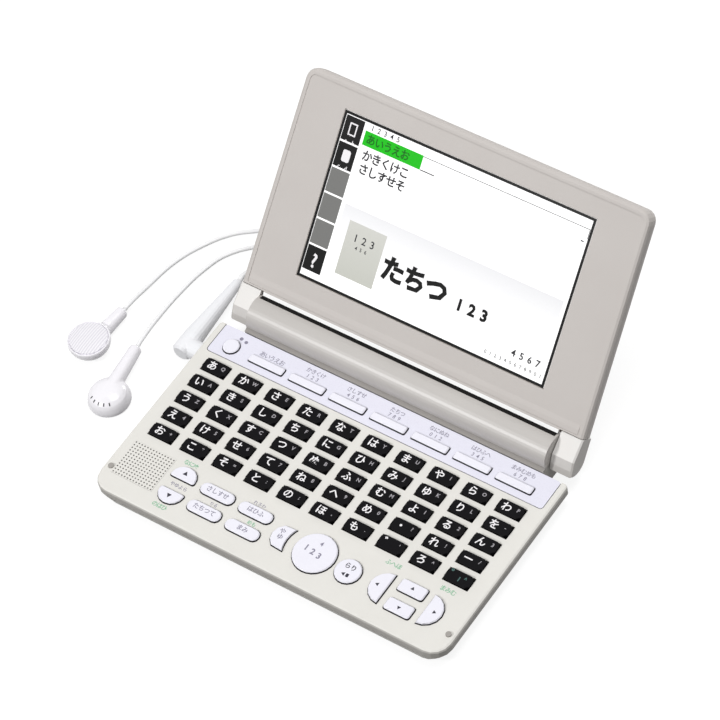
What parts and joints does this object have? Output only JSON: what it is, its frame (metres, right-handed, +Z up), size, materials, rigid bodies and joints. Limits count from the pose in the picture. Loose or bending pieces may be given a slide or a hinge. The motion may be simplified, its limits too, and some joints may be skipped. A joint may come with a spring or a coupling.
{
  "type": "electronic dictionary",
  "caption": "Clamshell pocket electronic dictionary, open on its hinge barrel, with keyboard, display, battery door and plugged-in earphones.",
  "frame": {"origin": "on the table under the middle of the open dictionary, without its earphones", "axes": "+X along the hinge to the reader's right, +Y from the reader to the back, +Z up"},
  "size_m": [0.1955, 0.1774, 0.0774],
  "materials": {
    "deck_plastic": "fine matt, pale warm off-white",
    "case_plastic": "satin silver-grey paint",
    "lid_plastic": "satin champagne-silver paint",
    "cap_plastic": "satin light silver paint",
    "strip_plastic": "satin pale lavender white",
    "white_key": "satin white with a faint lavender tint",
    "black_key": "satin black",
    "foot_rubber": "matt grey",
    "circuit_board": "green solder mask",
    "silicone": "matt grey silicone",
    "cell_wrap": "plain printed wrap",
    "dark_plastic": "matt black",
    "hinge_steel": "turned",
    "plug_brass": "polished",
    "screen_module": "lit display",
    "window": "clear hard-coated cover",
    "white_plastic": "satin white",
    "cord_rubber": "soft white",
    "grille_metal": "fine punched mesh"
  },
  "bodies": {
    "base": {"base_upper_case": "deck_plastic", "base_lower_case": "case_plastic", "label_strip": "strip_plastic", "battery_left": "cell_wrap", "battery_right": "cell_wrap", "main_board": "circuit_board", "rubber_key_mat": "silicone", "speaker": "dark_plastic", "earphone_jack": "dark_plastic", "foot_front_left": "foot_rubber", "foot_front_right": "foot_rubber", "foot_rear_left": "foot_rubber", "foot_rear_right": "foot_rubber", "hinge_barrel_cover": "case_plastic", "hinge_pin_left": "hinge_steel", "hinge_pin_right": "hinge_steel"},
    "lid": {"lid_back_shell": "lid_plastic", "lid_bezel": "lid_plastic", "display_panel": "screen_module", "display_window": "window", "hinge_cap_left": "cap_plastic", "hinge_cap_right": "cap_plastic"},
    "power_key": {"power_key": "white_key"},
    "function_key_1": {"function_key_1": "white_key"},
    "function_key_2": {"function_key_2": "white_key"},
    "function_key_3": {"function_key_3": "white_key"},
    "function_key_4": {"function_key_4": "white_key"},
    "function_key_5": {"function_key_5": "white_key"},
    "function_key_6": {"function_key_6": "white_key"},
    "function_key_7": {"function_key_7": "white_key"},
    "kana_row_1": {"kana_row_1": "black_key"},
    "kana_row_2": {"kana_row_2": "black_key"},
    "kana_row_3": {"kana_row_3": "black_key"},
    "kana_row_4": {"kana_row_4": "black_key"},
    "kana_row_5": {"kana_row_5": "black_key"},
    "page_up_key": {"page_up_key": "white_key"},
    "page_down_key": {"page_down_key": "white_key"},
    "text_size_key": {"text_size_key": "white_key"},
    "history_key": {"history_key": "white_key"},
    "shift_key": {"shift_key": "white_key"},
    "clear_key": {"clear_key": "white_key"},
    "back_key": {"back_key": "white_key"},
    "enter_key": {"enter_key": "white_key"},
    "voice_key": {"voice_key": "white_key"},
    "arrow_left_key": {"arrow_left_key": "white_key"},
    "arrow_right_key": {"arrow_right_key": "white_key"},
    "arrow_up_key": {"arrow_up_key": "white_key"},
    "arrow_down_key": {"arrow_down_key": "white_key"},
    "battery_cover": {"battery_cover": "case_plastic"},
    "earphones": {"earphone_plug": "white_plastic", "earphone_plug_pin": "plug_brass", "earphone_cord_lead": "cord_rubber", "earphone_cord_coil": "cord_rubber", "earphone_splitter": "white_plastic", "earphone_cord_left": "cord_rubber", "earphone_cord_right": "cord_rubber", "earbud_left": "white_plastic", "earbud_left_grille": "grille_metal", "earbud_right": "white_plastic", "earbud_right_grille": "grille_metal"}
  },
  "joints": [
    {"name": "lid_hinge", "type": "hinge", "parent": "base", "child": "lid", "pos_m": [0, 0.01077, 0.0114], "axis": [-1, 0, 0], "range_deg": [-133.6, 16.4]},
    {"name": "power_key_press", "type": "slide", "parent": "base", "child": "power_key", "axis": [0, 0, -1], "range_m": [0, 0.0008], "stiffness_N_per_m": 600, "springref_m": -0.0003},
    {"name": "function_key_1_press", "type": "slide", "parent": "base", "child": "function_key_1", "axis": [0, 0, -1], "range_m": [0, 0.0008], "stiffness_N_per_m": 600, "springref_m": -0.0003},
    {"name": "function_key_2_press", "type": "slide", "parent": "base", "child": "function_key_2", "axis": [0, 0, -1], "range_m": [0, 0.0008], "stiffness_N_per_m": 600, "springref_m": -0.0003},
    {"name": "function_key_3_press", "type": "slide", "parent": "base", "child": "function_key_3", "axis": [0, 0, -1], "range_m": [0, 0.0008], "stiffness_N_per_m": 600, "springref_m": -0.0003},
    {"name": "function_key_4_press", "type": "slide", "parent": "base", "child": "function_key_4", "axis": [0, 0, -1], "range_m": [0, 0.0008], "stiffness_N_per_m": 600, "springref_m": -0.0003},
    {"name": "function_key_5_press", "type": "slide", "parent": "base", "child": "function_key_5", "axis": [0, 0, -1], "range_m": [0, 0.0008], "stiffness_N_per_m": 600, "springref_m": -0.0003},
    {"name": "function_key_6_press", "type": "slide", "parent": "base", "child": "function_key_6", "axis": [0, 0, -1], "range_m": [0, 0.0008], "stiffness_N_per_m": 600, "springref_m": -0.0003},
    {"name": "function_key_7_press", "type": "slide", "parent": "base", "child": "function_key_7", "axis": [0, 0, -1], "range_m": [0, 0.0008], "stiffness_N_per_m": 600, "springref_m": -0.0003},
    {"name": "kana_row_1_press", "type": "slide", "parent": "base", "child": "kana_row_1", "axis": [0, 0, -1], "range_m": [0, 0.0008], "stiffness_N_per_m": 900, "springref_m": -0.0003},
    {"name": "kana_row_2_press", "type": "slide", "parent": "base", "child": "kana_row_2", "axis": [0, 0, -1], "range_m": [0, 0.0008], "stiffness_N_per_m": 900, "springref_m": -0.0003},
    {"name": "kana_row_3_press", "type": "slide", "parent": "base", "child": "kana_row_3", "axis": [0, 0, -1], "range_m": [0, 0.0008], "stiffness_N_per_m": 900, "springref_m": -0.0003},
    {"name": "kana_row_4_press", "type": "slide", "parent": "base", "child": "kana_row_4", "axis": [0, 0, -1], "range_m": [0, 0.0008], "stiffness_N_per_m": 900, "springref_m": -0.0003},
    {"name": "kana_row_5_press", "type": "slide", "parent": "base", "child": "kana_row_5", "axis": [0, 0, -1], "range_m": [0, 0.0008], "stiffness_N_per_m": 900, "springref_m": -0.0003},
    {"name": "page_up_key_press", "type": "slide", "parent": "base", "child": "page_up_key", "axis": [0, 0, -1], "range_m": [0, 0.0008], "stiffness_N_per_m": 600, "springref_m": -0.0003},
    {"name": "page_down_key_press", "type": "slide", "parent": "base", "child": "page_down_key", "axis": [0, 0, -1], "range_m": [0, 0.0008], "stiffness_N_per_m": 600, "springref_m": -0.0003},
    {"name": "text_size_key_press", "type": "slide", "parent": "base", "child": "text_size_key", "axis": [0, 0, -1], "range_m": [0, 0.0008], "stiffness_N_per_m": 600, "springref_m": -0.0003},
    {"name": "history_key_press", "type": "slide", "parent": "base", "child": "history_key", "axis": [0, 0, -1], "range_m": [0, 0.0008], "stiffness_N_per_m": 600, "springref_m": -0.0003},
    {"name": "shift_key_press", "type": "slide", "parent": "base", "child": "shift_key", "axis": [0, 0, -1], "range_m": [0, 0.0008], "stiffness_N_per_m": 600, "springref_m": -0.0003},
    {"name": "clear_key_press", "type": "slide", "parent": "base", "child": "clear_key", "axis": [0, 0, -1], "range_m": [0, 0.0008], "stiffness_N_per_m": 600, "springref_m": -0.0003},
    {"name": "back_key_press", "type": "slide", "parent": "base", "child": "back_key", "axis": [0, 0, -1], "range_m": [0, 0.0008], "stiffness_N_per_m": 600, "springref_m": -0.0003},
    {"name": "enter_key_press", "type": "slide", "parent": "base", "child": "enter_key", "axis": [0, 0, -1], "range_m": [0, 0.0008], "stiffness_N_per_m": 600, "springref_m": -0.0003},
    {"name": "voice_key_press", "type": "slide", "parent": "base", "child": "voice_key", "axis": [0, 0, -1], "range_m": [0, 0.0008], "stiffness_N_per_m": 600, "springref_m": -0.0003},
    {"name": "arrow_left_key_press", "type": "slide", "parent": "base", "child": "arrow_left_key", "axis": [0, 0, -1], "range_m": [0, 0.0008], "stiffness_N_per_m": 600, "springref_m": -0.0003},
    {"name": "arrow_right_key_press", "type": "slide", "parent": "base", "child": "arrow_right_key", "axis": [0, 0, -1], "range_m": [0, 0.0008], "stiffness_N_per_m": 600, "springref_m": -0.0003},
    {"name": "arrow_up_key_press", "type": "slide", "parent": "base", "child": "arrow_up_key", "axis": [0, 0, -1], "range_m": [0, 0.0008], "stiffness_N_per_m": 600, "springref_m": -0.0003},
    {"name": "arrow_down_key_press", "type": "slide", "parent": "base", "child": "arrow_down_key", "axis": [0, 0, -1], "range_m": [0, 0.0008], "stiffness_N_per_m": 600, "springref_m": -0.0003},
    {"name": "battery_cover_slide", "type": "slide", "parent": "base", "child": "battery_cover", "axis": [0, 1, 0], "range_m": [0, 0.014]},
    {"name": "earphone_plug_slide", "type": "slide", "parent": "base", "child": "earphones", "axis": [-1, 0, 0], "range_m": [0, 0.016]}
  ]
}
